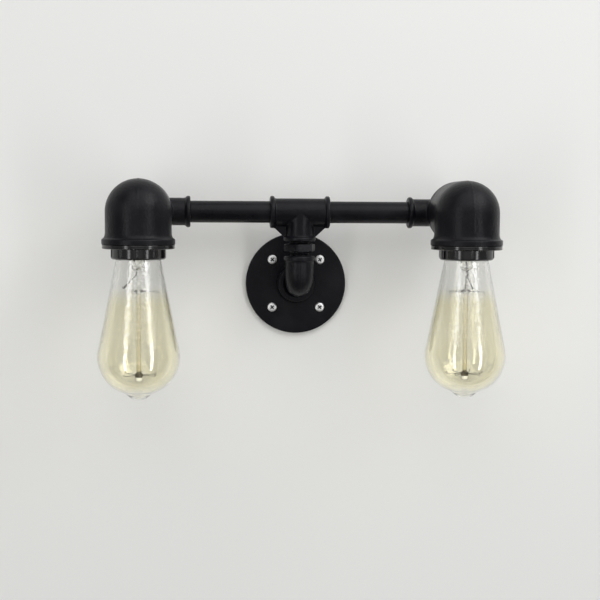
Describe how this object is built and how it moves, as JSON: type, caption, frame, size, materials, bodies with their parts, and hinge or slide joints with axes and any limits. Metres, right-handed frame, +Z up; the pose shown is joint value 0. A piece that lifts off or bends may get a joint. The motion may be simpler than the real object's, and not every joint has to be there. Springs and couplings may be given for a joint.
{
  "type": "industrial pipe wall light",
  "caption": "Wall light made of black iron pipe fittings: a screwed flange carries a tee and cross pipe, with tilting elbow heads that hold drop-shaped filament lamps.",
  "frame": {"origin": "centre of the wall flange's back face, on the wall", "axes": "+Z up, +X along the cross pipes, +Y into the wall; the light stands out to -Y"},
  "size_m": [0.3204, 0.142, 0.1717],
  "materials": {
    "black_casting": "matte black powder coat over a sand casting",
    "black_steel": "matte black paint, drawn steel",
    "zinc_screws": "bright zinc plate",
    "bakelite": "glossy black bakelite",
    "porcelain": "glazed white porcelain",
    "brass": "pressed brass",
    "lead_sheath": "smooth black sheath",
    "plated_cap": "nickel-plated pressed cap",
    "vitrite": "black glass insulator",
    "solder": "solder-coated contact",
    "amber_glass": "thin clear glass, amber tint below the neck",
    "stem_glass": "clear drawn glass",
    "nickel_wire": "dull nickel wire",
    "filament_wire": "grey drawn filament"
  },
  "bodies": {
    "bracket": {"wall_flange": "black_casting", "mounting_screws": "zinc_screws", "street_elbow": "black_casting", "hex_nipple": "black_steel", "tee": "black_casting", "left_pipe": "black_steel", "left_pipe_lead": "lead_sheath", "right_pipe": "black_steel", "right_pipe_lead": "lead_sheath"},
    "left_head": {"left_lamp_elbow": "black_casting", "left_side_elbow": "black_casting", "left_joining_nipple": "black_steel", "left_shade_ring": "bakelite", "left_holder_body": "bakelite", "left_holder_cap": "bakelite", "left_screw_shell": "brass", "left_contact_insert": "porcelain", "left_centre_contact": "brass", "left_terminal_screws": "brass", "left_head_lead": "lead_sheath"},
    "left_lamp_tip": {"left_lamp_contact": "solder"},
    "left_lamp": {"left_lamp_insulator": "vitrite", "left_lamp_cap": "plated_cap", "left_lamp_glass": "amber_glass", "left_lamp_stem": "stem_glass", "left_lamp_support_wires": "nickel_wire", "left_lamp_lead_wires": "nickel_wire", "left_lamp_filament": "filament_wire"},
    "right_head": {"right_lamp_elbow": "black_casting", "right_side_elbow": "black_casting", "right_joining_nipple": "black_steel", "right_shade_ring": "bakelite", "right_holder_body": "bakelite", "right_holder_cap": "bakelite", "right_screw_shell": "brass", "right_contact_insert": "porcelain", "right_centre_contact": "brass", "right_terminal_screws": "brass", "right_head_lead": "lead_sheath"},
    "right_lamp_tip": {"right_lamp_contact": "solder"},
    "right_lamp": {"right_lamp_insulator": "vitrite", "right_lamp_cap": "plated_cap", "right_lamp_glass": "amber_glass", "right_lamp_stem": "stem_glass", "right_lamp_support_wires": "nickel_wire", "right_lamp_lead_wires": "nickel_wire", "right_lamp_filament": "filament_wire"}
  },
  "joints": [
    {"name": "left_head_tilt", "type": "hinge", "parent": "bracket", "child": "left_head", "pos_m": [-0.0883, -0.04, 0.06], "axis": [-1, 0, 0], "range_deg": [-20, 90]},
    {"name": "left_lamp_travel", "type": "slide", "parent": "left_head", "child": "left_lamp_tip", "axis": [0, 0, -1], "range_m": [0, 0.02177]},
    {"name": "left_lamp_turn", "type": "hinge", "parent": "left_lamp_tip", "child": "left_lamp", "pos_m": [-0.1282, -0.084, 0.06], "axis": [0, 0, -1], "range_deg": [0, 2160]},
    {"name": "right_head_tilt", "type": "hinge", "parent": "bracket", "child": "right_head", "pos_m": [0.0883, -0.04, 0.06], "axis": [-1, 0, 0], "range_deg": [-20, 90]},
    {"name": "right_lamp_travel", "type": "slide", "parent": "right_head", "child": "right_lamp_tip", "axis": [0, 0, -1], "range_m": [0, 0.02177]},
    {"name": "right_lamp_turn", "type": "hinge", "parent": "right_lamp_tip", "child": "right_lamp", "pos_m": [0.1282, -0.084, 0.06], "axis": [0, 0, -1], "range_deg": [0, 2160]}
  ],
  "couplings": [
    {"joint": "left_lamp_travel", "follows": "left_lamp_turn", "m_per_rad": 0.00057757},
    {"joint": "right_lamp_travel", "follows": "right_lamp_turn", "m_per_rad": 0.00057757}
  ]
}
